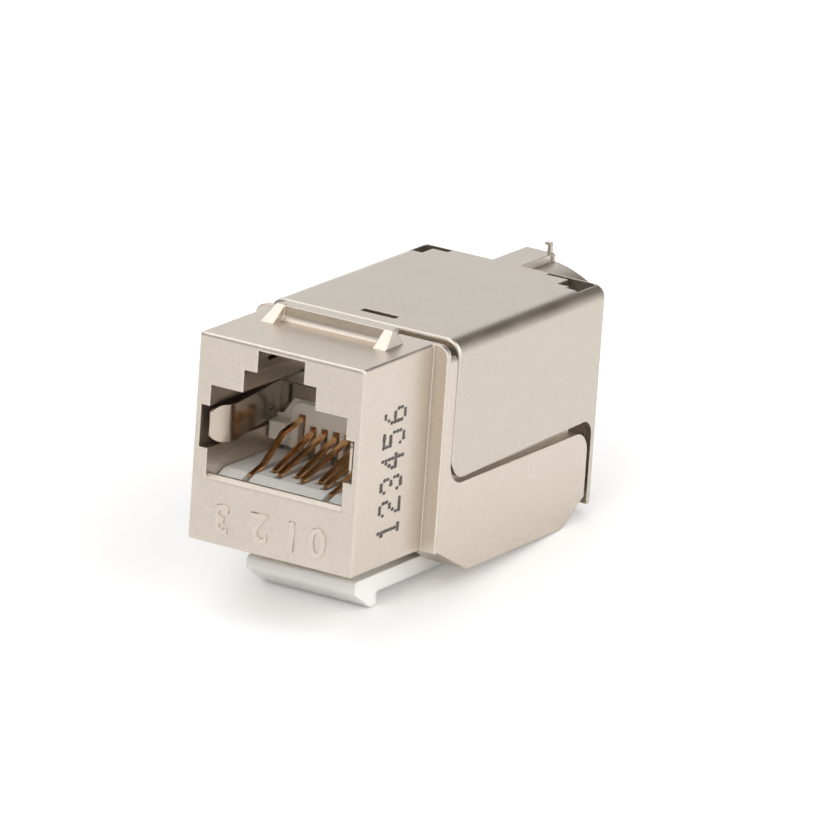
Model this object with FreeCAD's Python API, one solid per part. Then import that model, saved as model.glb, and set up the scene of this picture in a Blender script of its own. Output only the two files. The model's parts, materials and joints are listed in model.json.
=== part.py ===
import FreeCAD, Part
import math
import os

# Shielded, tool-free RJ45 keystone jack: a die-cast front housing that goes through the panel, a die-cast
# rear body, a cover that swings up to open the wiring space, and a springy plastic panel latch underneath.
# Working axes: x across the jack, y from the front face to the cable end, z up from the nose's underside.
# The port is upside down: the plug's own clip points up and the spring contacts lie at the bottom.

Vector = FreeCAD.Vector

# ---- front housing: the nose that fills the panel opening, and its flange
nose_width = 14.5
nose_height = 16.08
nose_length = 9.6
nose_edge_radius = 0.25
flange_width = 17.0
flange_thickness = 0.5
flange_corner_radius = 0.9

# ---- plug port, an upside-down RJ45 opening with its stepped clip recess
port_width = 12.0
sill_height = 5.3
sill_bevel = 0.35
port_top = 12.2
first_step_width = 6.36
first_step_top = 13.95
clip_slot_width = 4.1
clip_slot_top = 15.66
clip_recess_depth = 9.3
side_groove_width = 13.5
side_groove_bottom = 7.25
side_groove_top = 10.55
side_groove_depth = 9.0
front_wall = 1.1
sill_depth = 0.55
sill_ledge = 4.3
nose_floor = 1.0

# ---- fixed catch on top of the nose: a bar between two wedge ribs
rib_inner_x = 4.4
rib_width = 1.13
rib_start = 5.5
rib_rise = 1.5
rib_height = 1.14
rib_draft = 0.4
rib_crest_length = 0.45
rib_end = 8.0
bar_front = 7.0
bar_back = 8.15
bar_height = 1.12
bar_foot_radius = 0.5

# ---- skirt of the front housing that plugs into the rear body
skirt_wall = 0.85
skirt_width = port_width + 2 * skirt_wall
skirt_bottom = 0.4
skirt_top = 14.6
skirt_length = 2.8
skirt_clearance = 0.05

# ---- rear body: front frame, lower shell with a ramp, a chamfered tail and low side walls
body_back = 31.15
frame_back = 11.1
frame_top = 15.3
frame_relief = 0.4
frame_relief_bottom = 13.3
frame_relief_skin = 0.3
frame_corner_radius = 0.8
body_bottom = -2.3
ramp_end = 14.55
tail_length = 2.95
tail_start = body_back - tail_length
tail_rise = 1.95
side_wall_top = 4.95
side_wall_round = 1.8
side_step_radius = 1.75
body_floor = 1.0
rear_wall = 1.05
rim_height = 1.65
rim_thickness = 0.6
rim_end_gap = 1.75
rim_end = body_back - rim_end_gap
cable_axis_height = 8.2
saddle_cut_radius = 3.6
board_pad_front = 15.9
board_pad_length = 1.6
board_pad_width = 1.0

# ---- cover: folded over the rear body, open below and at the cable end
cover_top_thickness = 0.75
cover_side_thickness = 0.6
cover_tail_gap = 0.55
cover_front = 11.41
cover_back = body_back + cover_tail_gap + cover_side_thickness
cover_top = 16.18
cover_edge_radius = 1.35
cover_inner_radius = 0.3
cover_back_radius = 0.3
cover_corner_radius = 0.3
cover_front_edge_radius = 0.28
cover_tail_bottom = -1.1
side_gap_front = 0.35
side_gap_back = 0.8
side_gap_upright = 0.5
cable_slot_width = 8.8
marker_slot_width = 3.1
marker_slot_length = 0.8
marker_slot_front = 12.95
rear_rim = 0.25
notch_outer_x = flange_width / 2 - 0.82
right_notch = (2.14, 2.15)
right_notch_step = (1.07, 0.5)
right_slit = (1.94, 0.55)
left_notch = (1.21, 2.35)
left_slit = (1.35, 0.8)
notch_depth = 1.6
slit_depth = 1.2
press_rib_width = 0.8
press_rib_x = 4.5
press_rib_height = 0.25

# ---- cable rest at the cover's tail: flat tongue, curved saddle and a tie hook
tongue_width = 2.5
tongue_offset = -0.3
tongue_thickness = 0.6
tongue_length = 4.7
tail_end = cover_back + tongue_length
tongue_bead = 0.12
saddle_radius = 8.55
saddle_thickness = 0.6
saddle_half_width = 5.2
hook_width = 0.3
hook_length = 0.3
hook_height = 0.82
hook_inset = 0.45
hook_curl = 0.28
hook_tip = 0.2
hook_radius = 0.12

# ---- cover hinge: two bosses in the cover's sides turn in two posts of the rear body
hinge_y = 14.3
hinge_z = 14.4
hinge_boss_radius = 0.42
hinge_clearance = 0.05
hinge_swing_room = 0.25
post_radius = 0.8
post_thickness = 0.75
post_front = 13.75
post_back = 15.5
running_gap = 0.15
rim_outer_x = flange_width / 2 - cover_side_thickness - running_gap
post_inner_x = rim_outer_x - post_thickness
body_wall = flange_width / 2 - rim_outer_x + rim_thickness

# ---- panel latch under the nose
latch_width = 9.6
latch_front = 4.7
latch_top = -1.9
latch_bottom = -3.3
latch_lip_y = 7.95
latch_lip_bottom = -4.4
latch_pivot_y = 18.6
latch_pivot_z = -1.6
latch_root_radius = 0.85
latch_pin_radius = 0.45
latch_pin_length = 0.8
latch_pin_clearance = 0.06
latch_side_clearance = 0.25
latch_travel_deg = 6.5
channel_roof = 0.75
channel_roof_front = 12.2
channel_roof_skin = 0.3
channel_wall = 0.8
channel_cheek = 1.15
channel_back = 19.9

# ---- contacts
contact_count = 8
contact_pitch = 1.02
contact_width = 0.4
contact_thickness = 0.28
contact_leg_y = 10.0
contact_pin_bottom = 1.6
contact_knuckle_z = 7.4
outer_knuckle_z = 8.12
outer_kink = (6.62, 7.52)
outer_low_bend = (4.05, 5.55)
outer_tip = (2.4, 5.1)
near_tip = (3.22, 5.42)
far_tip = (4.15, 5.24)
contact_slot_width = 0.6
contact_slot_floor = 3.85
contact_slot_headroom = 0.25

# ---- circuit board, tray and comb inside the port
board_bottom = 2.3
board_thickness = 1.2
board_front = 1.8
board_end_gap = 0.7
board_back = body_back - rear_wall - board_end_gap
board_nose_width = port_width - 0.3
board_body_width = 2 * (post_inner_x - 0.2)
tray_top = 5.28
tray_front = 1.15
tray_nose = sill_depth + 0.2
tray_ramp_start = 1.6
tray_ramp_end = 2.6
tray_ramp_drop = 0.38
tray_back = 9.35
insert_clearance = 0.06
comb_front = 9.45
comb_back = 12.7
comb_top = 10.5
comb_face_front = 9.2
comb_face_width = 9.1
comb_face_radius = 0.95
comb_undercut = 10.6
comb_face_top = 9.3
comb_face_bottom = 5.6
comb_foot_front = 8.2
comb_foot_bottom = 6.3
comb_foot_top = 7.7
comb_foot_radius = 0.25

# ---- shield spring that grounds the plug
spring_thickness = 0.2
spring_root = (port_width / 2 - 0.18, 9.35)
spring_crest = (port_width / 2 - 0.78, 2.1)
spring_tip = (port_width / 2 + 0.25, 0.5)
spring_bend_radius = 0.9
spring_leaf_bottom = 7.5
spring_leaf_top = 10.4
spring_end_radius = 1.25
spring_root_bottom = 8.15
spring_root_top = 10.65
strap_bottom = 9.5
strap_top = 10.6
strap_gusset = 1.5
window_y = 7.7
window_length = 1.1
window_bottom = 8.55
window_height = 1.6
window_press = 0.1

# ---- wiring side: terminals, their block and the wire cap pressed onto them
terminal_rows = 4
terminal_first_y = 16.6
terminal_pitch = 3.4
terminal_width = 2.2
terminal_thickness = 0.5
terminal_top = 11.3
terminal_slot_width = 0.36
terminal_slot_depth = 3.0
terminal_pin_radius = 0.4
terminal_pin_below = 0.5
terminal_clearance = 0.08
cap_width = 2 * (post_inner_x - 0.4)
block_width = cap_width - 0.2
terminal_x = block_width / 2 - 1.9
block_front = 14.2
block_end_gap = 0.4
block_back = board_back - block_end_gap
block_top = 9.3
block_trough_width = 4.4
block_trough_bottom = 6.0
wire_slot_width = 1.1
wire_slot_depth = 1.5
cap_front = 14.0
cap_end_gap = 0.4
cap_back = body_back - rear_wall - cap_end_gap
cap_top = 15.0
cap_pocket_height = 2.4
cap_cable_radius = 3.2
cap_cable_front = 18.2
cap_edge_radius = 0.6

# The row's origin is the middle of the whole jack's footprint, at the level of its lowest point.
origin = Vector(0, -tail_end / 2, -latch_lip_bottom)


def box(x0, x1, y0, y1, z0, z1):
    return Part.makeBox(x1 - x0, y1 - y0, z1 - z0, Vector(x0, y0, z0))


def middle_box(width, y0, y1, z0, z1):
    """A box centred across the jack."""
    return box(-width / 2, width / 2, y0, y1, z0, z1)


def side_profile(edges, width):
    """Extrude a closed outline drawn in the y-z plane across the given width."""
    face = Part.Face(Part.Wire(edges))
    return face.extrude(Vector(width, 0, 0)).translated(Vector(-width / 2, 0, 0))


def segment(a, b):
    """A straight edge between two (y, z) points."""
    return Part.makeLine(Vector(0, *a), Vector(0, *b))


def outline(points):
    """Straight edges around a closed list of (y, z) points."""
    return [segment(a, b) for a, b in zip(points, points[1:] + points[:1])]


def rounded_outline(points, radii):
    """Edges around (y, z) points, each corner rounded to its radius where one is given."""
    spots = [Vector(0, *p) for p in points]
    corners = []
    for i, here in enumerate(spots):
        before = (spots[i - 1] - here)
        after = (spots[(i + 1) % len(spots)] - here)
        before.normalize()
        after.normalize()
        radius = radii.get(i, 0)
        if not radius:
            corners.append((here, here, None))
            continue
        half = before.getAngle(after) / 2
        reach = radius / math.tan(half)
        bisector = before + after
        bisector.normalize()
        centre = here + bisector * (radius / math.sin(half))
        corners.append((here + before * reach, here + after * reach, centre - bisector * radius))
    edges = []
    for i, (start, end, middle) in enumerate(corners):
        if middle is not None:
            edges.append(Part.Arc(start, middle, end).toShape())
        following = corners[(i + 1) % len(corners)][0]
        if (following - end).Length > 1e-6:
            edges.append(Part.makeLine(end, following))
    return edges


def rod(radius, x0, x1, y, z):
    """A round bar along x."""
    return Part.makeCylinder(radius, x1 - x0, Vector(x0, y, z), Vector(1, 0, 0))


def mirrored(shape):
    """The same shape on the other side of the jack."""
    return shape.mirror(Vector(0, 0, 0), Vector(1, 0, 0))


def both_sides(shape):
    return [shape, mirrored(shape)]


def fillet_where(shape, radius, test):
    """Round the edges whose middle and direction pass the test."""
    chosen = []
    for edge in shape.Edges:
        middle = edge.CenterOfMass
        way = edge.tangentAt(edge.FirstParameter)
        if test(middle, way):
            chosen.append(edge)
    return shape.makeFillet(radius, chosen)


def close(a, b):
    return abs(a - b) < 1e-4


def contact_x(number):
    return (number - (contact_count - 1) / 2) * contact_pitch


def terminal_places():
    """The x and y of each terminal, front pair first."""
    places = []
    for row in range(terminal_rows):
        y = terminal_first_y + row * terminal_pitch
        places.append((-terminal_x, y))
        places.append((terminal_x, y))
    return places


def port_cavity():
    """The plug's way in: main opening, shield grooves and the stepped recess for the plug's clip."""
    main = middle_box(port_width, -1, nose_length + skirt_length + 1, sill_height, port_top)
    first = middle_box(first_step_width, -1, clip_recess_depth, port_top - 0.5, first_step_top)
    slot = middle_box(clip_slot_width, -1, clip_recess_depth, port_top - 0.5, clip_slot_top)
    groove = middle_box(side_groove_width, -1, side_groove_depth, side_groove_bottom, side_groove_top)
    under = middle_box(port_width, front_wall, nose_length + skirt_length + 1, nose_floor, sill_height + 0.5)
    ledge = middle_box(port_width, sill_depth, front_wall + 0.1, sill_ledge, sill_height + 0.5)
    bevel = side_profile(
        outline([(-0.1, sill_height - sill_bevel - 0.1), (-0.1, sill_height + 0.1),
                 (sill_bevel + 0.1, sill_height + 0.1)]),
        port_width,
    )
    return main.fuse([first, slot, groove, under, ledge, bevel]).removeSplitter()


def fixed_catch():
    """Bar and two wedge ribs that hook behind the panel's upper edge."""
    low = nose_height - 0.4
    top = nose_height + rib_height
    crest_front = rib_start + rib_rise
    rib = side_profile(
        outline([(rib_start, low), (rib_start, nose_height), (crest_front, top),
                 (crest_front + rib_crest_length, top), (rib_end, nose_height), (rib_end, low)]),
        rib_width,
    ).translated(Vector(rib_inner_x + rib_width / 2, 0, 0))
    # the rib's outer side leans inward from its foot
    foot_x = rib_inner_x + rib_width
    crest_x = foot_x - rib_draft
    lean = [Vector(foot_x, 0, nose_height), Vector(crest_x, 0, top), Vector(crest_x, 0, top + 1),
            Vector(foot_x + 1, 0, top + 1), Vector(foot_x + 1, 0, nose_height)]
    lean = Part.Face(Part.makePolygon(lean + lean[:1])).extrude(Vector(0, 2 * nose_length, 0))
    rib = rib.cut(lean)
    bar_top = nose_height + bar_height
    foot_front = bar_front - bar_foot_radius
    arc_middle = Vector(0, bar_front - bar_foot_radius * (1 - math.sqrt(0.5)),
                        nose_height + bar_foot_radius * (1 - math.sqrt(0.5)))
    foot = Part.Arc(Vector(0, foot_front, nose_height), arc_middle,
                    Vector(0, bar_front, nose_height + bar_foot_radius)).toShape()
    edges = [foot,
             segment((bar_front, nose_height + bar_foot_radius), (bar_front, bar_top)),
             segment((bar_front, bar_top), (bar_back, bar_top)),
             segment((bar_back, bar_top), (bar_back, low)),
             segment((bar_back, low), (foot_front, low)),
             segment((foot_front, low), (foot_front, nose_height))]
    bar = side_profile(edges, 2 * rib_inner_x + rib_width)
    return bar.fuse(both_sides(rib))


def front_housing():
    nose = middle_box(nose_width, 0, nose_length, 0, nose_height)
    nose = fillet_where(
        nose, nose_edge_radius,
        lambda m, w: close(m.y, 0) or (close(abs(m.x), nose_width / 2) and close(abs(w.y), 1)),
    )
    flange = middle_box(flange_width, nose_length, nose_length + flange_thickness, 0, nose_height)
    flange = fillet_where(
        flange, flange_corner_radius,
        lambda m, w: close(abs(m.x), flange_width / 2) and close(m.z, nose_height) and close(abs(w.y), 1),
    )
    flange_back = nose_length + flange_thickness
    skirt = middle_box(skirt_width, nose_length, nose_length + skirt_length, skirt_bottom, skirt_top)
    reach = math.hypot(hinge_y - cover_front, cover_top - hinge_z) + hinge_swing_room
    skirt = skirt.cut(rod(reach, -flange_width, flange_width, hinge_y, hinge_z))
    body = nose.fuse([flange, skirt, fixed_catch()])
    body = body.cut(port_cavity())
    gate = box(-clip_slot_width / 2 - 0.9, -clip_slot_width / 2 + 0.1, 1.4, 2.9, clip_slot_top - 1.05,
               clip_slot_top - 0.7)
    body = body.cut(gate)
    ledge = box(port_width / 2 - 0.9, port_width / 2, front_wall, flange_back, nose_floor, board_bottom)
    return body.fuse(both_sides(ledge)).removeSplitter()


def ramp_line(y):
    """Height of the rear body's underside along its front ramp."""
    start = nose_length + flange_thickness
    return (y - start) / (ramp_end - start) * body_bottom


def rear_body_outline():
    """Side view of the rear body: frame, ramp, flat bottom, tail chamfer, rounded low wall and side step."""
    front = nose_length + flange_thickness
    points = [
        (front, 0),
        (ramp_end, body_bottom),
        (tail_start, body_bottom),
        (body_back, body_bottom + tail_rise),
        (body_back, side_wall_top),
        (frame_back, side_wall_top),
        (frame_back, frame_top),
        (front, frame_top),
    ]
    return rounded_outline(points, {2: 1.2, 4: side_wall_round, 5: side_step_radius})


def latch_channel():
    """Room for the panel latch in the underside, deeper at the root, with two blind pin holes."""
    front = nose_length
    roof_front = -0.15
    roof_back = latch_pivot_z + latch_root_radius - 0.4
    root_roof = latch_pivot_z + latch_root_radius + latch_side_clearance / 2
    root_front = latch_pivot_y - latch_root_radius - 0.35
    low = latch_lip_bottom
    room = side_profile(
        outline([(front, low), (front, roof_front), (root_front, roof_back), (root_front, root_roof),
                 (channel_back, root_roof), (channel_back, low)]),
        latch_width + 2 * latch_side_clearance,
    )
    reach = latch_width / 2 + latch_pin_length + 0.15
    holes = rod(latch_pin_radius + latch_pin_clearance, -reach, reach, latch_pivot_y, latch_pivot_z)
    return room.fuse(holes)


def hinge_post():
    """Post inside the side wall that carries the cover's boss."""
    post = box(post_inner_x, rim_outer_x, post_front, post_back, 0, hinge_z - 1.2)
    neck = side_profile(
        outline([(post_front, hinge_z - 1.3), (hinge_y - post_radius, hinge_z),
                 (hinge_y + post_radius, hinge_z), (post_back, hinge_z - 1.3)]),
        post_thickness,
    ).translated(Vector(rim_outer_x - post_thickness / 2, 0, 0))
    top = rod(post_radius, post_inner_x, rim_outer_x, hinge_y, hinge_z)
    hole = rod(hinge_boss_radius + hinge_clearance, post_inner_x - 1, rim_outer_x + 1, hinge_y, hinge_z)
    return post.fuse([neck, top]).cut(hole)


def rear_body():
    front = nose_length + flange_thickness
    outer = side_profile(rear_body_outline(), flange_width)
    outer = fillet_where(
        outer, frame_corner_radius,
        lambda m, w: close(abs(m.x), flange_width / 2) and close(m.z, frame_top) and close(abs(w.y), 1),
    )
    inner_width = flange_width - 2 * body_wall
    inside = side_profile(
        outline([(frame_back, ramp_line(frame_back) + 1.1), (ramp_end + 0.4, body_bottom + body_floor),
                 (tail_start - 0.2, body_bottom + body_floor), (body_back - rear_wall, body_bottom + 2.5),
                 (body_back - rear_wall, frame_top + 1), (frame_back, frame_top + 1)]),
        inner_width,
    )
    shell = outer.cut(inside)
    relief = middle_box(flange_width - 2 * frame_relief_skin, frame_back - frame_relief, frame_back + 0.1,
                        frame_relief_bottom, frame_top + 1)
    skirt_room = middle_box(skirt_width + 2 * skirt_clearance, front - 1, frame_back + 2,
                            skirt_bottom - skirt_clearance, skirt_top + skirt_clearance)
    cable = Part.makeCylinder(saddle_cut_radius, 4, Vector(0, body_back - 3, cable_axis_height),
                              Vector(0, 1, 0))
    shell = shell.cut([relief, skirt_room, cable])
    rim = box(rim_outer_x - rim_thickness, rim_outer_x, frame_back, rim_end, side_wall_top - 1,
              side_wall_top + rim_height)
    roof_height = latch_pivot_z + latch_root_radius + latch_side_clearance / 2 + channel_roof
    low = body_bottom + channel_roof_skin
    roof = side_profile(
        outline([(channel_roof_front, ramp_line(channel_roof_front) + channel_roof_skin), (ramp_end, low),
                 (channel_back + channel_wall, low), (channel_back + channel_wall, roof_height),
                 (channel_roof_front, roof_height)]),
        latch_width + 2 * (latch_side_clearance + channel_cheek),
    )
    pad_outer = board_body_width / 2 + 0.1
    pads = [box(pad_outer - board_pad_width, pad_outer, y, y + board_pad_length, body_bottom + 0.5,
                board_bottom)
            for y in (board_pad_front, board_back - 1.5 * board_pad_length)]
    pads = [pad for one in pads for pad in both_sides(one)]
    shell = shell.fuse(both_sides(rim) + both_sides(hinge_post()) + [roof] + pads)
    return shell.cut(latch_channel()).removeSplitter()


def cover_side_cut():
    """What is missing from each side of the cover, so that the rear body's low wall shows."""
    front_corner = side_wall_top + side_gap_front
    back_corner = side_wall_top + side_gap_back
    strip_front = cover_back - cover_side_thickness - 0.05
    points = [
        (cover_front - 1, cover_tail_bottom - 1),
        (strip_front, cover_tail_bottom - 1),
        (strip_front, back_corner),
        (cover_front, front_corner),
        (cover_front, front_corner + 3),
        (cover_front - 1, front_corner + 3),
    ]
    return side_profile(rounded_outline(points, {2: 1.3, 3: side_step_radius - side_gap_front / 2}),
                        flange_width + 2)


def cable_rest():
    """Tongue, curved saddle and tie hook behind the cover."""
    start = cover_back - cover_side_thickness
    left = tongue_offset - tongue_width / 2
    right = tongue_offset + tongue_width / 2
    tongue = box(left, right, start, tail_end, cover_top - tongue_thickness, cover_top)
    axis_z = cover_top - tongue_thickness - saddle_radius + 0.05
    arch = Part.makeCylinder(saddle_radius, tail_end - start, Vector(0, start, axis_z), Vector(0, 1, 0))
    arch = arch.cut(Part.makeCylinder(saddle_radius - saddle_thickness, tail_end - start,
                                      Vector(0, start, axis_z), Vector(0, 1, 0)))
    keep = middle_box(2 * saddle_half_width, start, tail_end, axis_z, cover_top)
    hook_right = right - hook_inset + hook_width
    hook_high = cover_top + hook_height
    hook = box(right - hook_inset, hook_right, tail_end - hook_length, tail_end, cover_top - 0.1, hook_high)
    curl = box(right - hook_inset - hook_curl, hook_right, tail_end - hook_length, tail_end,
               hook_high - hook_tip, hook_high)
    hook = hook.fuse(curl).removeSplitter()
    hook = fillet_where(hook, hook_radius, lambda m, w: close(m.z, hook_high) and close(abs(w.y), 1))
    bead = box(right - 0.2, right + tongue_bead, tail_end - hook_length, tail_end,
               cover_top - tongue_thickness, cover_top - 0.1)
    return [tongue, arch.common(keep), hook, bead]


def roof_cut(x0, x1, length, depth):
    """An opening in the cover's top that ends at the thin rear rim."""
    back = cover_back - rear_rim
    return box(x0, x1, back - length, back, cover_top - depth, cover_top + 1)


def corner_notches():
    """Openings in the cover's rear corners; the right one is larger, with a stepped front edge."""
    inner = notch_outer_x - right_notch[0]
    step = notch_outer_x - right_notch_step[0]
    right = [
        roof_cut(inner, notch_outer_x, right_notch[1], notch_depth),
        roof_cut(step, notch_outer_x, right_notch[1] + right_notch_step[1], notch_depth),
        roof_cut(inner - right_slit[0], inner + 0.1, right_slit[1], slit_depth),
    ]
    inner = -notch_outer_x + left_notch[0]
    left = [
        roof_cut(-notch_outer_x, inner, left_notch[1], notch_depth),
        roof_cut(inner - 0.1, inner + left_slit[0], left_slit[1], slit_depth),
    ]
    return right + left


def top_cover():
    half = flange_width / 2
    block = middle_box(flange_width, cover_front, cover_back, cover_tail_bottom, cover_top)
    outer = fillet_where(block, cover_edge_radius,
                         lambda m, w: close(abs(m.x), half) and close(m.z, cover_top))
    outer = fillet_where(outer, cover_front_edge_radius,
                         lambda m, w: close(m.y, cover_front) and close(m.z, cover_top))
    upright = fillet_where(block, cover_corner_radius,
                           lambda m, w: close(m.y, cover_back) and close(abs(w.z), 1))
    rear = fillet_where(block, cover_back_radius,
                        lambda m, w: close(m.y, cover_back) and close(m.z, cover_top))
    outer = outer.common(upright).common(rear)
    inner_half = half - cover_side_thickness
    inner = middle_box(2 * inner_half, cover_front - 1, cover_back - cover_side_thickness,
                       cover_tail_bottom - 1, cover_top - cover_top_thickness)
    inner = fillet_where(
        inner, cover_inner_radius,
        lambda m, w: close(abs(m.x), inner_half) and close(m.z, cover_top - cover_top_thickness),
    )
    cover = outer.cut([inner, cover_side_cut()])
    slot_z = cable_axis_height
    cable = Part.makeCylinder(cable_slot_width / 2, 2, Vector(0, cover_back - 1, slot_z), Vector(0, 1, 0))
    way_out = middle_box(cable_slot_width, cover_back - 1, cover_back + 1, cover_tail_bottom - 1, slot_z)
    cable = cable.fuse(way_out)
    marker = box(-marker_slot_width / 2 + 0.1, marker_slot_width / 2 + 0.1, marker_slot_front,
                 marker_slot_front + marker_slot_length, cover_top - 2, cover_top + 1)
    cover = cover.cut([cable, marker] + corner_notches())
    boss = rod(hinge_boss_radius, post_inner_x + 0.1, inner_half + 0.3, hinge_y, hinge_z)
    rib = box(press_rib_x - press_rib_width / 2, press_rib_x + press_rib_width / 2, cap_front + 1,
              cap_back - 1, cover_top - cover_top_thickness - press_rib_height,
              cover_top - cover_top_thickness + 0.2)
    return cover.fuse(both_sides(boss) + both_sides(rib) + cable_rest()).removeSplitter()


def keystone_latch():
    """Plate with a ramped lip in front and a round root that pivots on two side pins."""
    points = [
        (latch_front, latch_top),
        (latch_front - 0.1, latch_top - 0.9),
        (latch_lip_y - 1.0, latch_lip_bottom + 0.05),
        (latch_lip_y + 0.05, latch_lip_bottom),
        (latch_lip_y - 0.3, latch_bottom),
        (latch_pivot_y + latch_root_radius, latch_bottom),
        (latch_pivot_y + latch_root_radius, latch_top),
    ]
    plate = side_profile(rounded_outline(points, {0: 0.3, 1: 0.6, 2: 0.25, 3: 0.3, 4: 0.3, 5: 0.8, 6: 0.2}),
                         latch_width)
    half = latch_width / 2
    root = rod(latch_root_radius, -half, half, latch_pivot_y, latch_pivot_z)
    pins = rod(latch_pin_radius, -half - latch_pin_length, half + latch_pin_length, latch_pivot_y,
               latch_pivot_z)
    return plate.fuse([root, pins]).removeSplitter()


def contact_tray():
    """Port floor with a groove for each spring contact."""
    board_top = board_bottom + board_thickness
    width = port_width - 2 * insert_clearance
    low_front = tray_top - tray_ramp_drop
    nose_bottom = sill_ledge + insert_clearance
    tray = side_profile(
        outline([(tray_front, board_top), (tray_front, nose_bottom), (tray_nose, nose_bottom),
                 (tray_nose, low_front - 0.05), (tray_ramp_start, low_front),
                 (tray_ramp_end, tray_top), (tray_back, tray_top), (tray_back, board_top)]),
        width,
    )
    grooves = []
    for number in range(contact_count):
        outer = number in (0, contact_count - 1)
        tip_y = near_tip[0] if number % 2 == 0 else far_tip[0]
        start = tray_nose - 1 if outer else tip_y - 0.45
        x = contact_x(number)
        grooves.append(box(x - contact_slot_width / 2, x + contact_slot_width / 2, start, tray_back + 1,
                           contact_slot_floor, tray_top + 1))
    return tray.cut(grooves)


def comb_block():
    """Block behind the port that keeps the contact legs apart."""
    board_top = board_bottom + board_thickness
    width = port_width - 2 * insert_clearance
    block = middle_box(width, comb_front, comb_back, comb_face_bottom, comb_top)
    block = block.fuse(middle_box(width, comb_undercut, comb_back, board_top, comb_top))
    face = middle_box(comb_face_width, comb_face_front, comb_front + 0.1, comb_face_bottom, comb_face_top)
    face = fillet_where(face, comb_face_radius, lambda m, w: close(m.z, comb_face_top) and close(abs(w.y), 1))
    foot = box(comb_face_width / 2 - 0.1, width / 2, comb_foot_front, comb_front + 0.1, comb_foot_bottom,
               comb_foot_top)
    foot = fillet_where(foot, comb_foot_radius,
                        lambda m, w: close(m.y, comb_foot_front) and close(abs(w.z), 1))
    block = block.fuse([face] + both_sides(foot))
    slots = []
    for number in range(contact_count):
        outer = number in (0, contact_count - 1)
        top = (outer_knuckle_z if outer else contact_knuckle_z) + contact_slot_headroom
        x = contact_x(number)
        slots.append(box(x - contact_slot_width / 2, x + contact_slot_width / 2, comb_foot_front - 1,
                         contact_leg_y + 0.35, board_top - 1, top))
    return block.cut(slots).removeSplitter()


def strip(points, thickness, width):
    """A flat strip of even thickness that follows (y, z) points, extruded across its width."""
    normals = []
    spots = [Vector(0, *p) for p in points]
    for i in range(len(spots)):
        back = spots[i] - spots[i - 1] if i else spots[1] - spots[0]
        ahead = spots[i + 1] - spots[i] if i < len(spots) - 1 else back
        back.normalize()
        ahead.normalize()
        along = back + ahead
        along.normalize()
        normal = Vector(0, -along.z, along.y)
        normals.append(normal * (thickness / 2 / max(0.3, math.cos(back.getAngle(ahead) / 2))))
    loop = [s + n for s, n in zip(spots, normals)]
    loop += [s - n for s, n in zip(reversed(spots), reversed(normals))]
    face = Part.Face(Part.makePolygon(loop + loop[:1]))
    return face.extrude(Vector(width, 0, 0)).translated(Vector(-width / 2, 0, 0))


def bent(points, radius, steps=3):
    """Points of a path whose inner corners are rounded by short chords."""
    spots = [Vector(0, *p) for p in points]
    path = [points[0]]
    for before, here, after in zip(spots, spots[1:], spots[2:]):
        back = before - here
        ahead = after - here
        back.normalize()
        ahead.normalize()
        half = back.getAngle(ahead) / 2
        reach = radius / math.tan(half)
        bisector = back + ahead
        bisector.normalize()
        centre = here + bisector * (radius / math.sin(half))
        start = here + back * reach - centre
        end = here + ahead * reach - centre
        for step in range(steps + 1):
            spot = start * (1 - step / steps) + end * (step / steps)
            spot.normalize()
            spot = centre + spot * radius
            path.append((spot.y, spot.z))
    path.append(points[-1])
    return path


def contact(number):
    """One spring contact: board pin, upright leg, knuckle and the slanting arm that the plug presses."""
    if number in (0, contact_count - 1):
        knuckle = (contact_leg_y, outer_knuckle_z + 0.1)
        pin = (contact_leg_y, contact_pin_bottom)
        path = bent([pin, knuckle, outer_kink, outer_low_bend, outer_tip], 0.3)
    else:
        tip = near_tip if number % 2 == 0 else far_tip
        knuckle = (contact_leg_y, contact_knuckle_z + 0.1)
        path = bent([(contact_leg_y, contact_pin_bottom), knuckle, tip], 0.3)
    return strip(path, contact_thickness, contact_width).translated(Vector(contact_x(number), 0, 0))


def spring_leaf():
    """Left leaf: it bows into the port at its crest and ends in a rounded tip beside the opening."""
    path = bent([spring_root, spring_crest, spring_tip], spring_bend_radius, 5)
    leaf = strip([(-x, y) for x, y in path], spring_thickness, spring_root_top - spring_leaf_bottom)
    # strip() draws in y-z and extrudes along x, so the leaf is stood up: y-z becomes x-y and x becomes z
    upright = FreeCAD.Matrix(0, 1, 0, 0, 0, 0, 1, 0, 1, 0, 0, (spring_root_top + spring_leaf_bottom) / 2)
    leaf = leaf.transformGeometry(upright)
    tip_y = spring_tip[1] - spring_thickness
    root_y = spring_root[1] + spring_thickness
    side = side_profile(
        rounded_outline([(tip_y, spring_leaf_bottom), (tip_y + 2.6, spring_leaf_bottom),
                         (root_y, spring_root_bottom), (root_y, spring_root_top),
                         (tip_y + 2.6, spring_leaf_top), (tip_y, spring_leaf_top)],
                        {0: spring_end_radius, 5: spring_end_radius}),
        2 * flange_width,
    )
    leaf = leaf.common(side)
    share = (window_y + window_length / 2 - spring_crest[1]) / (spring_root[1] - spring_crest[1])
    x = -(spring_crest[0] + share * (spring_root[0] - spring_crest[0]))
    pad = box(x - spring_thickness / 2 - window_press, x, window_y, window_y + window_length, window_bottom,
              window_bottom + window_height)
    dent = box(x + spring_thickness / 2 - window_press, x + 1, window_y, window_y + window_length,
               window_bottom, window_bottom + window_height)
    return leaf.fuse(pad).cut(dent)


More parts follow.
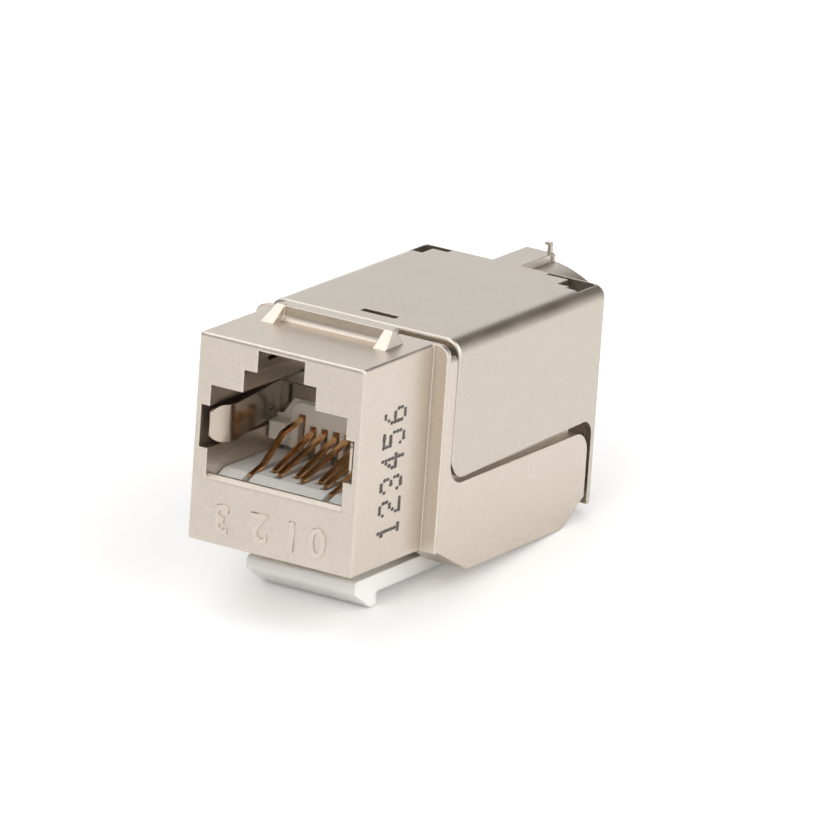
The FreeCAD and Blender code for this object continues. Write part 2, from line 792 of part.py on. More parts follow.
def shield_spring():
    """U-shaped sheet spring: two side leaves joined by a strap across the back of the port."""
    leaf = spring_leaf()
    x = spring_root[0] + spring_thickness / 2
    corners = [(-x, spring_root_bottom), (-x + 0.6, spring_root_bottom), (-x + strap_gusset, strap_bottom),
               (x - strap_gusset, strap_bottom), (x - 0.6, spring_root_bottom), (x, spring_root_bottom),
               (x, strap_top), (-x, strap_top)]
    y = spring_root[1] - spring_thickness / 2
    loop = [Vector(a, y, b) for a, b in corners + corners[:1]]
    strap = Part.Face(Part.makePolygon(loop)).extrude(Vector(0, spring_thickness, 0))
    return strap.fuse(both_sides(leaf)).removeSplitter()


def circuit_board():
    top = board_bottom + board_thickness
    skirt_end = nose_length + skirt_length + 0.2
    board = middle_box(board_nose_width, board_front, skirt_end, board_bottom, top)
    board = board.fuse(middle_box(board_body_width, skirt_end, board_back, board_bottom, top))
    holes = []
    for number in range(contact_count):
        x = contact_x(number)
        holes.append(box(x - contact_slot_width / 2, x + contact_slot_width / 2, contact_leg_y - 0.3,
                         contact_leg_y + 0.4, board_bottom - 1, top + 1))
    for x, y in terminal_places():
        holes.append(Part.makeCylinder(terminal_pin_radius + terminal_clearance, 4,
                                       Vector(x, y, board_bottom - 1)))
    return board.cut(holes).removeSplitter()


def terminal(x, y):
    """Forked blade that cuts into one wire, with a pin through the board."""
    board_top = board_bottom + board_thickness
    blade = box(x - terminal_thickness / 2, x + terminal_thickness / 2, y - terminal_width / 2,
                y + terminal_width / 2, board_top, terminal_top)
    tip = terminal_width / 2 - terminal_slot_width / 2
    blade = blade.makeChamfer(tip * 0.6, [e for e in blade.Edges if close(e.CenterOfMass.z, terminal_top)
                                          and close(abs(e.CenterOfMass.y - y), terminal_width / 2)])
    slot = box(x - 1, x + 1, y - terminal_slot_width / 2, y + terminal_slot_width / 2,
               terminal_top - terminal_slot_depth, terminal_top + 1)
    pin = Part.makeCylinder(terminal_pin_radius, board_thickness + terminal_pin_below + 0.2,
                            Vector(x, y, board_bottom - terminal_pin_below))
    return blade.cut(slot).fuse(pin).removeSplitter()


def blade_room(x, y, z0, z1):
    spare = terminal_clearance
    return box(x - terminal_thickness / 2 - spare, x + terminal_thickness / 2 + spare,
               y - terminal_width / 2 - spare, y + terminal_width / 2 + spare, z0, z1)


def wire_way(x, y, z0, z1):
    """Groove for one wire, from the cable trough out through the side."""
    inner = block_trough_width / 2 - 0.1
    outer = block_width
    x0, x1 = (inner, outer) if x > 0 else (-outer, -inner)
    return box(x0, x1, y - wire_slot_width / 2, y + wire_slot_width / 2, z0, z1)


def terminal_block():
    board_top = board_bottom + board_thickness
    block = middle_box(block_width, block_front, block_back, board_top, block_top)
    cuts = [middle_box(block_trough_width, block_front - 1, block_back + 1, block_trough_bottom,
                       block_top + 1)]
    for x, y in terminal_places():
        cuts.append(blade_room(x, y, board_top - 1, block_top + 1))
        cuts.append(wire_way(x, y, block_top - wire_slot_depth, block_top + 1))
    return block.cut(cuts)


def wire_cap():
    """Cap that pushes the wires onto the blades; it rests on the terminal block."""
    cap = middle_box(cap_width, cap_front, cap_back, block_top, cap_top)
    cap = fillet_where(cap, cap_edge_radius,
                       lambda m, w: close(m.z, cap_top) or (close(abs(w.z), 1) and m.y > cap_front + 1))
    cuts = [Part.makeCylinder(cap_cable_radius, cap_back - block_front, Vector(0, cap_cable_front, block_top),
                              Vector(0, 1, 0))]
    for x, y in terminal_places():
        cuts.append(blade_room(x, y, block_top - 1, block_top + cap_pocket_height))
        cuts.append(wire_way(x, y, block_top - 1, block_top + 0.7))
    return cap.cut(cuts)


def build():
    pieces = {
        "front_housing": front_housing(),
        "rear_body": rear_body(),
        "top_cover": top_cover(),
        "keystone_latch": keystone_latch(),
        "contact_tray": contact_tray(),
        "comb_block": comb_block(),
        "shield_spring": shield_spring(),
        "circuit_board": circuit_board(),
        "terminal_block": terminal_block(),
        "wire_cap": wire_cap(),
    }
    for number in range(contact_count):
        pieces[f"contact_{number + 1}"] = contact(number)
    for index, (x, y) in enumerate(terminal_places()):
        pieces[f"terminal_{index + 1}"] = terminal(x, y)
    return pieces


os.makedirs("parts", exist_ok=True)
for name, shape in build().items():
    shape.translated(origin).exportStep(f"parts/{name}.step")
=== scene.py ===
import json
import math

import bmesh
import bpy
from mathutils import Matrix, Vector


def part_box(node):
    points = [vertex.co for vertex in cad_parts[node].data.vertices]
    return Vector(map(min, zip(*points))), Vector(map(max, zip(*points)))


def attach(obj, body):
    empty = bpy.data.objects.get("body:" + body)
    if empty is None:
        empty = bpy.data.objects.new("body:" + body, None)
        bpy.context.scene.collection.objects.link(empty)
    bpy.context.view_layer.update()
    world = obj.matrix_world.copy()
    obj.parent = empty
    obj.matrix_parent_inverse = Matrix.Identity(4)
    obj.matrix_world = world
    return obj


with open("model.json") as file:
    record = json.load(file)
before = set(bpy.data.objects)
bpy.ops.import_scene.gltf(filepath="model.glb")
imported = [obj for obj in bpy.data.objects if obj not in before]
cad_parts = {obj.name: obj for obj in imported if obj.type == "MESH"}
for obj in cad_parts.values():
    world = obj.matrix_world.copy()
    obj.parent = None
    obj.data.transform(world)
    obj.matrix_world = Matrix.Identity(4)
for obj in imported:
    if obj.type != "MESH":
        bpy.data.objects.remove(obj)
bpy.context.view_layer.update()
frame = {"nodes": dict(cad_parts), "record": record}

mm = 0.001
nodes = frame["nodes"]
slotOf = {row["node"]: row["material_slot"] for row in frame["record"]["subparts"]}
scene = bpy.context.scene
print("frame loaded:", len(nodes), "nodes")

# The jack's own axes, in millimetres: x across, y back from the front face, z up from the nose.
housingLow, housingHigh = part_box("front_housing")


def place(x, y, z):
    return Vector((x * mm, housingLow[1] + y * mm, housingLow[2] + z * mm))


# Helpers for shader trees.
def nodeGroup(name, inputs, outputs):
    # sockets are (label, kind, start value) going in and (label, kind) coming out
    group = bpy.data.node_groups.new(name, "ShaderNodeTree")
    for label, kind, value in inputs:
        socket = group.interface.new_socket(name=label, in_out="INPUT", socket_type=kind)
        if value is not None:
            socket.default_value = value
    for label, kind in outputs:
        group.interface.new_socket(name=label, in_out="OUTPUT", socket_type=kind)
    return group, group.nodes.new("NodeGroupInput"), group.nodes.new("NodeGroupOutput")


def addNode(tree, kind, values=None, **settings):
    node = tree.nodes.new(kind)
    for key, value in settings.items():
        setattr(node, key, value)
    for key, value in (values or {}).items():
        node.inputs[key].default_value = value
    return node


def spread(tree, source, low, high, start, end):
    # a linear change of range, clamped at both ends
    node = addNode(tree, "ShaderNodeMapRange",
                   {"From Min": low, "From Max": high, "To Min": start, "To Max": end})
    tree.links.new(source, node.inputs["Value"])
    return node.outputs["Result"]


def combine(tree, operation, first, second):
    node = addNode(tree, "ShaderNodeMath", operation=operation)
    for socket, value in zip(node.inputs, (first, second)):
        if isinstance(value, (int, float)):
            socket.default_value = value
        else:
            tree.links.new(value, socket)
    return node.outputs["Value"]


def mixColour(tree, factor, first, second):
    node = addNode(tree, "ShaderNodeMix", data_type="RGBA")
    for label, value in (("Factor", factor), ("A", first), ("B", second)):
        socket = [s for s in node.inputs if s.name == label and s.enabled][0]
        if isinstance(value, bpy.types.NodeSocket):
            tree.links.new(value, socket)
        else:
            socket.default_value = value
    return [s for s in node.outputs if s.enabled][0]


def shade(colour, factor):
    return (*[min(1.0, c * factor) for c in colour], 1)


def newMaterial(name):
    material = bpy.data.materials.new(name)
    material.use_nodes = True
    tree = material.node_tree
    tree.nodes.clear()
    shader = tree.nodes.new("ShaderNodeBsdfPrincipled")
    output = tree.nodes.new("ShaderNodeOutputMaterial")
    tree.links.new(shader.outputs["BSDF"], output.inputs["Surface"])
    return material, tree, shader


def makeEdgeGroup():
    # 1 along convex edges, 0 on the flat: the mask for a brighter edge tone, partly burnished plating and
    #                                      partly painted highlight
    group, start, end = nodeGroup(
        "EdgeWearAndHighlight", [("Radius", "NodeSocketFloat", 0.0002)], [("Edge", "NodeSocketFloat")])
    softened = addNode(group, "ShaderNodeBevel", samples=6)
    group.links.new(start.outputs["Radius"], softened.inputs["Radius"])
    flat = addNode(group, "ShaderNodeNewGeometry")
    dot = addNode(group, "ShaderNodeVectorMath", operation="DOT_PRODUCT")
    group.links.new(softened.outputs["Normal"], dot.inputs[0])
    group.links.new(flat.outputs["Normal"], dot.inputs[1])
    group.links.new(spread(group, dot.outputs["Value"], 0.995, 0.8, 0.0, 1.0), end.inputs["Edge"])
    return group


def makeGrainGroup():
    # two sizes of grain and a slow cloudiness, all on the piece's own coordinates
    group, start, end = nodeGroup(
        "SurfaceGrain",
        [("Fine Scale", "NodeSocketFloat", 9000.0), ("Coarse Scale", "NodeSocketFloat", 3200.0),
         ("Cloud Scale", "NodeSocketFloat", 240.0)],
        [("Fine", "NodeSocketFloat"), ("Coarse", "NodeSocketFloat"), ("Cloud", "NodeSocketFloat")])
    where = addNode(group, "ShaderNodeTexCoord")
    for label, detail in (("Fine", 3.0), ("Coarse", 4.0), ("Cloud", 2.0)):
        noise = addNode(group, "ShaderNodeTexNoise", {"Detail": detail, "Roughness": 0.6})
        group.links.new(where.outputs["Object"], noise.inputs["Vector"])
        group.links.new(start.outputs[f"{label} Scale"], noise.inputs["Scale"])
        group.links.new(noise.outputs["Fac"], end.inputs[label])
    return group


def makeRecessShadeGroup():
    # 1 in inner corners and slots, 0 in the open: where shade is painted into the colour
    group, start, end = nodeGroup(
        "PaintedRecessShade", [("Reach", "NodeSocketFloat", 0.0008)], [("Recess", "NodeSocketFloat")])
    shelter = addNode(group, "ShaderNodeAmbientOcclusion", samples=8, only_local=True)
    group.links.new(start.outputs["Reach"], shelter.inputs["Distance"])
    group.links.new(spread(group, shelter.outputs["AO"], 0.8, 0.3, 0.0, 1.0), end.inputs["Recess"])
    return group


edgeGroup = makeEdgeGroup()
grainGroup = makeGrainGroup()
recessShadeGroup = makeRecessShadeGroup()


# Heights of the two grains, in metres.
grainHeights = {"coarse": 0.00003, "fine": 0.00001}


def addRelief(tree, shader, grain, radius, fine, coarse):
    # rounded edges under a bump of both grain sizes
    softened = addNode(tree, "ShaderNodeBevel", {"Radius": radius}, samples=6)
    low = addNode(tree, "ShaderNodeBump", {"Strength": coarse, "Distance": grainHeights["coarse"]})
    tree.links.new(grain.outputs["Coarse"], low.inputs["Height"])
    tree.links.new(softened.outputs["Normal"], low.inputs["Normal"])
    top = addNode(tree, "ShaderNodeBump", {"Strength": fine, "Distance": grainHeights["fine"]})
    tree.links.new(grain.outputs["Fine"], top.inputs["Height"])
    tree.links.new(low.outputs["Normal"], top.inputs["Normal"])
    tree.links.new(top.outputs["Normal"], shader.inputs["Normal"])


def addRecessShade(tree, reach, strength, unshadedTone, paintedShade):
    # painted shade: the unshaded tone turns darker where the metal is sheltered within its reach
    recess = addNode(tree, "ShaderNodeGroup", {"Reach": reach}, node_tree=recessShadeGroup)
    return mixColour(tree, combine(tree, "MULTIPLY", recess.outputs["Recess"], strength), unshadedTone, paintedShade)


def objectAxes(tree):
    where = addNode(tree, "ShaderNodeTexCoord")
    axes = addNode(tree, "ShaderNodeSeparateXYZ")
    tree.links.new(where.outputs["Object"], axes.inputs["Vector"])
    return axes.outputs


# The castings' inner walls, in the jack's own millimetres.
insideSizes = {"halfWidth": 6.7, "front": 0.15, "top": 15.0}


def insideShare(tree):
    # 1 inside the castings' walls, 0 on their outer faces
    axes = objectAxes(tree)
    aside = combine(tree, "ABSOLUTE", axes["X"], 0)
    inner = combine(tree, "LESS_THAN", aside, insideSizes["halfWidth"] * mm)
    behind = combine(tree, "GREATER_THAN", axes["Y"], place(0, insideSizes["front"], 0).y)
    below = combine(tree, "LESS_THAN", axes["Z"], place(0, 0, insideSizes["top"]).z)
    return combine(tree, "MULTIPLY", combine(tree, "MULTIPLY", inner, behind), below)


# Reaches in metres, and how much of the unshaded tone is left where shade is painted into slots and far
# back in the port.
recessSizes = {"slotReach": 0.0008, "slotShade": 0.45, "wallReach": 0.005, "farShade": 0.35}


def makeMetal(name, colour, roughness, look):
    # plated metal: grainy tone and gloss, edges brightened as partly burnished wear and partly painted
    # highlight, painted shade in slots and on the inner walls
    material, tree, shader = newMaterial(name)
    grain = addNode(tree, "ShaderNodeGroup", node_tree=grainGroup)
    edge = addNode(tree, "ShaderNodeGroup", node_tree=edgeGroup)
    edge.inputs["Radius"].default_value = look["edgeRadius"]
    addRelief(tree, shader, grain, look["edgeRadius"], look["fine"], look["coarse"])
    toneShare = spread(tree, grain.outputs["Coarse"], 0.35, 0.65, 0.0, 1.0)
    tone = mixColour(tree, toneShare, shade(colour, 1 - look["tone"]), shade(colour, 1 + look["tone"]))
    # painted highlight along the edges, partly also burnished wear
    wornAndHighlit = mixColour(tree, edge.outputs["Edge"], tone, shade(colour, look["edgeWearAndHighlight"]))
    sizes = recessSizes
    # painted shade in slots and inner corners
    shaded = addRecessShade(tree, sizes["slotReach"], look["paintedShade"], wornAndHighlit, shade(colour, sizes["slotShade"]))
    # painted shade on the castings' inner walls, deep in the port
    if look["deepShade"]:
        inside = combine(tree, "MULTIPLY", insideShare(tree), look["deepShade"])
        shaded = addRecessShade(tree, sizes["wallReach"], inside, shaded, shade(look["deepShadeColour"], 1))
    if look["backShade"]:
        # painted shade: the strip darkens towards the back of the port
        front, back = [place(0, y, 0).y for y in look["backShadeDepth"]]
        depth = spread(tree, objectAxes(tree)["Y"], front, back, 0.0, look["backShade"])
        shaded = mixColour(tree, depth, shaded, shade(colour, sizes["farShade"]))
    tree.links.new(shaded, shader.inputs["Base Color"])
    gloss = spread(tree, grain.outputs["Cloud"], 0.3, 0.7, roughness * 0.9, roughness * 1.1)
    polish = combine(tree, "MULTIPLY", edge.outputs["Edge"], roughness * 0.3)
    tree.links.new(combine(tree, "SUBTRACT", gloss, polish), shader.inputs["Roughness"])
    shader.inputs["Metallic"].default_value = 1.0
    return material


plasticDepth = (0.001, 0.0009, 0.0008)  # how far red, green and blue light gets into the plastic


def makePlastic(name, colour, look):
    # moulded plastic with a faint skin and a little light inside
    material, tree, shader = newMaterial(name)
    grain = addNode(tree, "ShaderNodeGroup", node_tree=grainGroup)
    addRelief(tree, shader, grain, look["edgeRadius"], look["fine"], look["skin"])
    tone = mixColour(tree, grain.outputs["Cloud"], shade(colour, 0.96), shade(colour, 1.02))
    tree.links.new(tone, shader.inputs["Base Color"])
    rough = look["roughness"]
    gloss = spread(tree, grain.outputs["Coarse"], 0.3, 0.7, rough * 0.9, rough * 1.12)
    tree.links.new(gloss, shader.inputs["Roughness"])
    shader.inputs["Subsurface Weight"].default_value = look["inside"]
    shader.inputs["Subsurface Radius"].default_value = plasticDepth
    shader.inputs["Subsurface Scale"].default_value = 0.6
    return material


# Finishes of the jack's own pieces.
castColour = (0.70, 0.627, 0.547)
raisedColour = (0.705, 0.632, 0.552)
metalLooks = {
    "cast": {"edgeRadius": 0.00016, "edgeWearAndHighlight": 1.35, "fine": 0.25, "coarse": 0.3, "tone": 0.035,
             "paintedShade": 0.45, "deepShade": 0.75, "deepShadeColour": (0.26, 0.20, 0.155), "backShade": 0},
    "raised": {"edgeRadius": 0.00003, "edgeWearAndHighlight": 1.3, "fine": 0.25, "coarse": 0.3, "tone": 0.035,
               "paintedShade": 0.9, "deepShade": 0, "backShade": 0},
    "cover": {"edgeRadius": 0.00012, "edgeWearAndHighlight": 1.2, "fine": 0.2, "coarse": 0.22, "tone": 0.03,
              "paintedShade": 0.7, "deepShade": 0, "backShade": 0},
    "spring": {"edgeRadius": 0.00004, "edgeWearAndHighlight": 1.15, "fine": 0.05, "coarse": 0.06, "tone": 0.03,
               "paintedShade": 0.3, "deepShade": 0, "backShade": 0.8, "backShadeDepth": (1.2, 6.0)},
    "gold": {"edgeRadius": 0.00006, "edgeWearAndHighlight": 1.25, "fine": 0.1, "coarse": 0.1, "tone": 0.08,
             "paintedShade": 0.3, "deepShade": 0, "backShade": 0},
    "tin": {"edgeRadius": 0.00005, "edgeWearAndHighlight": 1.1, "fine": 0.1, "coarse": 0.1, "tone": 0.05,
            "paintedShade": 0.3, "deepShade": 0, "backShade": 0},
}
plasticLooks = {
    "latch": {"edgeRadius": 0.00015, "fine": 0.05, "skin": 0.1, "roughness": 0.42, "inside": 0.2},
    "insert": {"edgeRadius": 0.00015, "fine": 0.05, "skin": 0.1, "roughness": 0.5, "inside": 0.15},
    "board": {"edgeRadius": 0.00004, "fine": 0.05, "skin": 0.1, "roughness": 0.3, "inside": 0.0},
}
finishes = {
    "nickel_casting": makeMetal("CastNickel", castColour, 0.36, metalLooks["cast"]),
    "nickel_cover": makeMetal("CoverNickel", (0.63, 0.573, 0.502), 0.33, metalLooks["cover"]),
    "spring_metal": makeMetal("SpringNickel", (0.60, 0.52, 0.44), 0.14, metalLooks["spring"]),
    "contact_gold": makeMetal("ContactGold", (1.0, 0.585, 0.305), 0.22, metalLooks["gold"]),
    "tinned_bronze": makeMetal("TinnedBronze", (0.72, 0.70, 0.66), 0.25, metalLooks["tin"]),
    "white_plastic": makePlastic("WhitePlastic", (0.90, 0.90, 0.87), plasticLooks["latch"]),
    "grey_plastic": makePlastic("GreyPlastic", (0.95, 0.89, 0.80), plasticLooks["insert"]),
    "board_laminate": makePlastic("BoardLaminate", (0.03, 0.16, 0.08), plasticLooks["board"]),
}
for name, piece in nodes.items():
    piece.data.materials.clear()
    piece.data.materials.append(finishes[slotOf[name]])
    for face in piece.data.polygons:
        face.material_index = 0
print("finishes set on", len(nodes), "nodes")


def addPiece(name, mesh, material, body):
    piece = bpy.data.objects.new(name, mesh)
    scene.collection.objects.link(piece)
    piece.data.materials.clear()
    piece.data.materials.append(material)
    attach(piece, body)
    return piece


def evaluatedMesh(holder):
    graph = bpy.context.evaluated_depsgraph_get()
    return bpy.data.meshes.new_from_object(holder.evaluated_get(graph))


# Raised plain numbers on the front face, upside down as the port is.
numberSizes = {"digits": "0123", "spots": (4.1, 1.85, -1.0, -4.4), "height": 2.3, "middleZ": 2.25,
               "proud": 0.12, "sunk": 0.06, "rounding": 0.04, "bold": 0.04, "capShare": 0.73}


def digitMesh(digit):
    # one solid digit, standing on the x-y plane's middle
    sizes = numberSizes
    curve = bpy.data.curves.new("digit", "FONT")
    curve.body = digit
    curve.size = sizes["height"] / sizes["capShare"]
    curve.align_x, curve.align_y = "CENTER", "CENTER"
    curve.resolution_u = 3
    curve.extrude = (sizes["proud"] + sizes["sunk"]) / 2 - sizes["rounding"]
    curve.bevel_depth = sizes["rounding"]
    curve.bevel_resolution = 1
    curve.offset = sizes["bold"]
    holder = bpy.data.objects.new("digit", curve)
    scene.collection.objects.link(holder)
    mesh = evaluatedMesh(holder)
    bpy.data.objects.remove(holder)
    bpy.data.curves.remove(curve)
    return mesh


def makeFrontNumbers():
    sizes = numberSizes
    joined = bmesh.new()
    # the digit's top goes to -z and its front to -y
    turn = Matrix.Rotation(math.pi, 4, "Y") @ Matrix.Rotation(math.pi / 2, 4, "X")
    for digit, x in zip(sizes["digits"], sizes["spots"]):
        mesh = digitMesh(digit)
        spot = place(x, (sizes["sunk"] - sizes["proud"]) / 2, sizes["middleZ"])
        mesh.transform(Matrix.Translation(spot) @ turn @ Matrix.Scale(mm, 4))
        joined.from_mesh(mesh)
        bpy.data.meshes.remove(mesh)
    bmesh.ops.remove_doubles(joined, verts=joined.verts, dist=1e-7)
    bmesh.ops.recalc_face_normals(joined, faces=joined.faces)
    mesh = bpy.data.meshes.new("front_numbers")
    joined.to_mesh(mesh)
    joined.free()
    raised = makeMetal("RaisedNickel", raisedColour, 0.30, metalLooks["raised"])
    return addPiece("front_numbers", mesh, raised, "housing")


makeFrontNumbers()
print("raised numbers made")


# Printed plain numbers up the nose's right side, as rows of ink dots.
inkSizes = {"digits": "123456", "noseHalf": 7.25, "dot": 0.3, "across": 0.24, "along": 0.45,
            "stretch": 1.55, "uneven": 0.15, "seed": 5, "digitStep": 1.78, "firstZ": 2.75, "middleY": 4.75,
            "lift": 0.01, "thickness": 0.008}
inkTones = ((0.035, 0.028, 0.025, 1), (0.12, 0.10, 0.09, 1))
dotDigits = {  # each digit as rows of dots, read from its top
    "1": ["..1..", ".11..", "..1..", "..1..", "..1..", "..1..", ".111."],
    "2": [".111.", "1...1", "....1", "..11.", ".1...", "1....", "11111"],
    "3": [".111.", "1...1", "....1", "..11.", "....1", "1...1", ".111."],
    "4": ["...1.", "..11.", ".1.1.", "1..1.", "11111", "...1.", "...1."],
    "5": ["11111", "1....", "1111.", "....1", "....1", "1...1", ".111."],
    "6": ["..11.", ".1...", "1....", "1111.", "1...1", "1...1", ".111."],
    "7": ["11111", "....1", "...1.", "...1.", "..1..", "..1..", "..1.."],
    "8": [".111.", "1...1", "1...1", ".111.", "1...1", "1...1", ".111."],
}


def makeInk():
    material, tree, shader = newMaterial("PrintedInk")
    grain = addNode(tree, "ShaderNodeGroup", {"Coarse Scale": 6000.0}, node_tree=grainGroup)
    share = spread(tree, grain.outputs["Coarse"], 0.35, 0.65, 0.0, 1.0)
    tone = mixColour(tree, share, *inkTones)
    tree.links.new(tone, shader.inputs["Base Color"])
    tree.links.new(spread(tree, grain.outputs["Fine"], 0.3, 0.7, 0.4, 0.6), shader.inputs["Roughness"])
    return material


def makeDotTree(material):
    # a flat round dot on every point, slightly uneven in size
    tree = bpy.data.node_groups.new("InkDots", "GeometryNodeTree")
    sockets = tree.interface
    sockets.new_socket(name="Geometry", in_out="INPUT", socket_type="NodeSocketGeometry")
    for label, value in (("Dot Radius", inkSizes["dot"] / 2), ("Dot Thickness", inkSizes["thickness"])):
        socket = sockets.new_socket(name=label, in_out="INPUT", socket_type="NodeSocketFloat")
        socket.default_value = value * mm
    sockets.new_socket(name="Geometry", in_out="OUTPUT", socket_type="NodeSocketGeometry")
    start, end = tree.nodes.new("NodeGroupInput"), tree.nodes.new("NodeGroupOutput")
    dot = addNode(tree, "GeometryNodeMeshCylinder", {"Vertices": 10})
    uneven = addNode(tree, "FunctionNodeRandomValue", data_type="FLOAT")
    uneven.inputs[2].default_value = 1 - inkSizes["uneven"]
    uneven.inputs[3].default_value = 1 + inkSizes["uneven"]
    uneven.inputs["Seed"].default_value = inkSizes["seed"]
    # dots are drawn out along the digit's height, so its strokes nearly close up
    longer = addNode(tree, "ShaderNodeVectorMath", operation="SCALE")
    longer.inputs[0].default_value = (1, inkSizes["stretch"], 1)
    spots = addNode(tree, "GeometryNodeInstanceOnPoints", {"Rotation": (0, math.pi / 2, 0)})
    real = tree.nodes.new("GeometryNodeRealizeInstances")
    paint = addNode(tree, "GeometryNodeSetMaterial", {"Material": material})
    links = tree.links
    links.new(start.outputs["Dot Radius"], dot.inputs["Radius"])
    links.new(start.outputs["Dot Thickness"], dot.inputs["Depth"])
    links.new(start.outputs["Geometry"], spots.inputs["Points"])
    links.new(dot.outputs["Mesh"], spots.inputs["Instance"])
    links.new(uneven.outputs[1], longer.inputs["Scale"])
    links.new(longer.outputs["Vector"], spots.inputs["Scale"])
    links.new(spots.outputs["Instances"], real.inputs["Geometry"])
    links.new(real.outputs["Geometry"], paint.inputs["Geometry"])
    links.new(paint.outputs["Geometry"], end.inputs["Geometry"])
    return tree


def makeInkNumbers():
    # the digits stand on their sides: their tops point to the front
    sizes = inkSizes
    points = []
    for index, digit in enumerate(sizes["digits"]):
        z = sizes["firstZ"] + index * sizes["digitStep"]
        for row, dots in enumerate(dotDigits[digit]):
            y = sizes["middleY"] + (row - 3) * sizes["along"]
            for column, dot in enumerate(dots):
                if dot == "1":
                    height = z + (column - 2) * sizes["across"]
                    points.append(place(sizes["noseHalf"] + sizes["lift"], y, height))
    cloud = bpy.data.meshes.new("points")
    cloud.from_pydata([tuple(p) for p in points], [], [])
    holder = bpy.data.objects.new("points", cloud)
    scene.collection.objects.link(holder)
    ink = makeInk()
    holder.modifiers.new("dots", "NODES").node_group = makeDotTree(ink)
    mesh = evaluatedMesh(holder)
    bpy.data.objects.remove(holder)
    return addPiece("side_numbers", mesh, ink, "housing")


makeInkNumbers()
print("printed numbers made")


# Studio: pale floor, soft sky with a darker zone behind, one fill lamp, camera.
stageSizes = {"floorSide": 3.0, "lipY": 7.95, "lipZ": -4.4, "tailY": 28.2, "tailZ": -2.3, "lift": 0.12,
              "tones": ((0.93, 0.93, 0.93, 1), (0.95, 0.95, 0.95, 1))}


def makeFloor():
    # the jack leans on the latch's lip and the rear body's underside
    material, tree, shader = newMaterial("PaleFloor")
    where = addNode(tree, "ShaderNodeTexCoord")
    mottle = addNode(tree, "ShaderNodeTexNoise", {"Scale": 3.0, "Detail": 2.0})
    tree.links.new(where.outputs["Object"], mottle.inputs["Vector"])
    colour = mixColour(tree, mottle.outputs["Fac"], *stageSizes["tones"])
    tree.links.new(colour, shader.inputs["Base Color"])
    shader.inputs["Roughness"].default_value = 1.0
    shader.inputs["Specular IOR Level"].default_value = 0.0
    shader.inputs["Emission Color"].default_value = (1, 1, 1, 1)
    path = addNode(tree, "ShaderNodeLightPath")
    lift = combine(tree, "MULTIPLY", path.outputs["Is Camera Ray"], stageSizes["lift"])
    tree.links.new(lift, shader.inputs["Emission Strength"])
    lip = place(0, stageSizes["lipY"], stageSizes["lipZ"])
    tail = place(0, stageSizes["tailY"], stageSizes["tailZ"])
    along = (tail - lip).normalized() * stageSizes["floorSide"] / 2
    across = Vector((stageSizes["floorSide"] / 2, 0, 0))
    corners = [lip - across - along, lip + across - along, lip + across + along, lip - across + along]
    mesh = bpy.data.meshes.new("Floor")
    mesh.from_pydata([tuple(c) for c in corners], [], [(0, 1, 2, 3)])
    floor = bpy.data.objects.new("Floor", mesh)
    scene.collection.objects.link(floor)
    floor.data.materials.append(material)


def makePatchGroup():
    # how much a direction belongs to a soft round patch of the studio
    group, start, end = nodeGroup(
        "StudioPatch",
        [("Direction", "NodeSocketVector", None), ("Centre", "NodeSocketVector", None),
         ("Inner Cosine", "NodeSocketFloat", 0.95), ("Outer Cosine", "NodeSocketFloat", 0.7)],
        [("Amount", "NodeSocketFloat")])
    dot = addNode(group, "ShaderNodeVectorMath", operation="DOT_PRODUCT")
    group.links.new(start.outputs["Direction"], dot.inputs[0])
    group.links.new(start.outputs["Centre"], dot.inputs[1])
    soft = addNode(group, "ShaderNodeMapRange", {"To Min": 0.0, "To Max": 1.0},
                   interpolation_type="SMOOTHSTEP")
    group.links.new(dot.outputs["Value"], soft.inputs["Value"])
    group.links.new(start.outputs["Outer Cosine"], soft.inputs["From Min"])
    group.links.new(start.outputs["Inner Cosine"], soft.inputs["From Max"])
    group.links.new(soft.outputs["Result"], end.inputs["Amount"])
    return group


skyBase = (0.31, 0.31, 0.31)
skyPatches = [  # direction, inner and outer half angle in degrees, colour it turns the sky to
    ((-0.50, 0.82, 0.24), 12, 45, (0.86, 0.86, 0.86)),
    ((0.20, 0.82, 0.52), 8, 32, (0.09, 0.08, 0.075)),
    ((0.88, -0.42, 0.24), 14, 36, (2.0, 1.99, 1.98)),
    ((-0.05, -0.72, 0.70), 12, 30, (2.4, 2.38, 2.35)),
    ((-0.46, 0.10, 0.88), 14, 34, (1.8, 1.79, 1.78)),
    ((0.66, 0.16, 0.72), 14, 30, (2.25, 2.24, 2.23)),
    ((0.80, 0.50, 0.34), 8, 26, (1.5, 1.49, 1.48)),
]


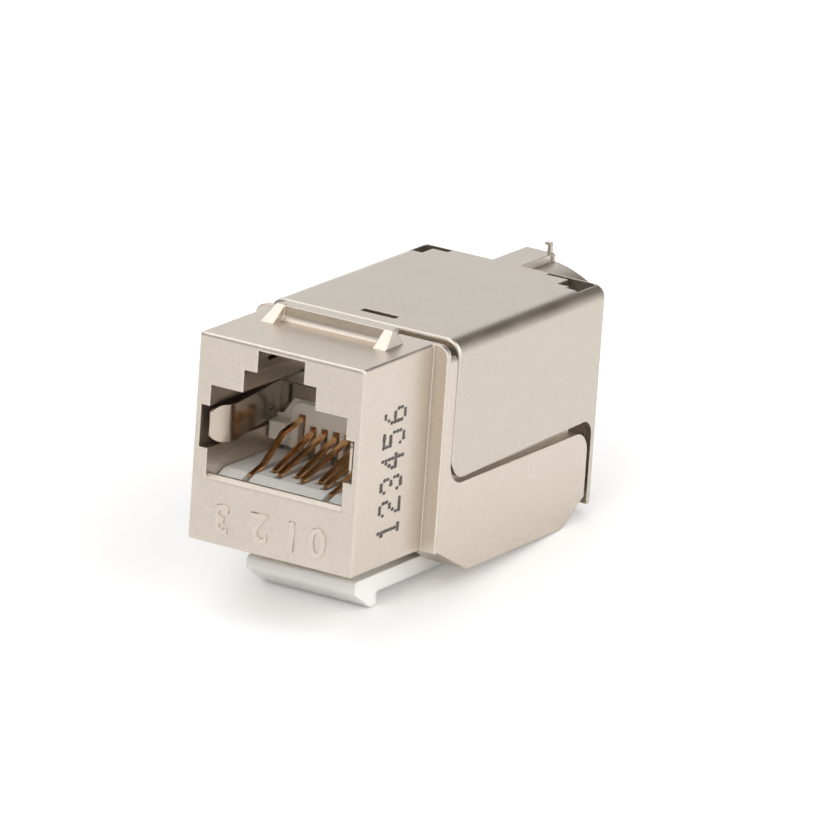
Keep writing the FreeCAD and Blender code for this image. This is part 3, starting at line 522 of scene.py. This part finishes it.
def makeSky():
    world = bpy.data.worlds.new("Studio")
    world.use_nodes = True
    tree = world.node_tree
    where = addNode(tree, "ShaderNodeTexCoord")
    patchGroup = makePatchGroup()
    colour = (*skyBase, 1)
    for direction, inner, outer, tint in skyPatches:
        patch = addNode(tree, "ShaderNodeGroup", node_tree=patchGroup)
        tree.links.new(where.outputs["Generated"], patch.inputs["Direction"])
        patch.inputs["Centre"].default_value = Vector(direction).normalized()
        patch.inputs["Inner Cosine"].default_value = math.cos(math.radians(inner))
        patch.inputs["Outer Cosine"].default_value = math.cos(math.radians(outer))
        colour = mixColour(tree, patch.outputs["Amount"], colour, (*tint, 1))
    path = addNode(tree, "ShaderNodeLightPath")
    colour = mixColour(tree, path.outputs["Is Camera Ray"], colour, (1, 1, 1, 1))
    tree.links.new(colour, tree.nodes["Background"].inputs["Color"])
    scene.world = world


lampSizes = {"spot": (0.45, 0.05, 0.22), "target": (0, 0, 0.01), "side": 0.3, "power": 0.05,
             "colour": (1, 0.98, 0.96)}


def addLamp(name, sizes):
    lamp = bpy.data.lights.new(name, "AREA")
    lamp.size = sizes["side"]
    lamp.energy = sizes["power"]
    lamp.color = sizes["colour"]
    holder = bpy.data.objects.new(name, lamp)
    scene.collection.objects.link(holder)
    holder.location = sizes["spot"]
    aim = Vector(sizes["target"]) - Vector(sizes["spot"])
    holder.rotation_euler = aim.to_track_quat("-Z", "Y").to_euler()


cameraSizes = {"lens": 430.36, "sensor": 36, "roll": 4.0,
               "spot": (0.374262, -0.621226, 0.230021), "target": (-0.000766, 0.003135, 0.010213)}


def makeCamera():
    # long lens from the front right, a little above, with a slight roll
    lens = bpy.data.cameras.new("MainCamera")
    lens.lens = cameraSizes["lens"]
    lens.sensor_width = cameraSizes["sensor"]
    lens.clip_start, lens.clip_end = 0.01, 10
    holder = bpy.data.objects.new("MainCamera", lens)
    scene.collection.objects.link(holder)
    spot, target = Vector(cameraSizes["spot"]), Vector(cameraSizes["target"])
    aim = (target - spot).to_track_quat("-Z", "Y").to_matrix()
    turn = Matrix.Rotation(math.radians(cameraSizes["roll"]), 3, "Z")
    holder.location = spot
    holder.rotation_euler = (aim @ turn).to_euler()
    scene.camera = holder


makeFloor()
makeSky()
addLamp("SideFill", lampSizes)
makeCamera()
scene.view_settings.view_transform = "Standard"
print("studio and camera ready")
